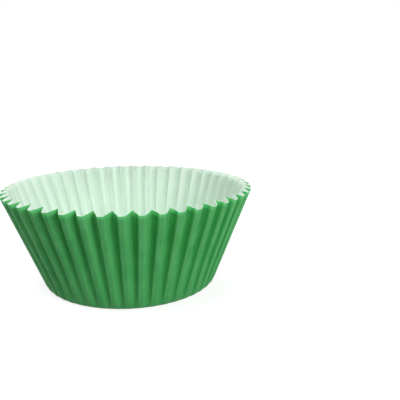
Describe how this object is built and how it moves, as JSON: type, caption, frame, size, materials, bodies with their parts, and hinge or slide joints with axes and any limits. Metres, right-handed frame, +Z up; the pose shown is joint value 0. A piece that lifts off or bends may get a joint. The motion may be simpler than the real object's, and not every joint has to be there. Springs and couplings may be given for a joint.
{
  "type": "cupcake liner",
  "caption": "Round pleated paper cup for baking: flat base, fluted wall leaning out to a scalloped rim, green outside and pale inside.",
  "frame": {"origin": "centre of the base, at the level it stands on", "axes": "+Z up along the cup's axis; a groove faces -Y"},
  "size_m": [0.0724, 0.0724, 0.0293],
  "materials": {
    "paper": "matt greaseproof paper, green outside and pale green-white inside"
  },
  "bodies": {
    "root": {"liner": "paper"}
  },
  "joints": []
}
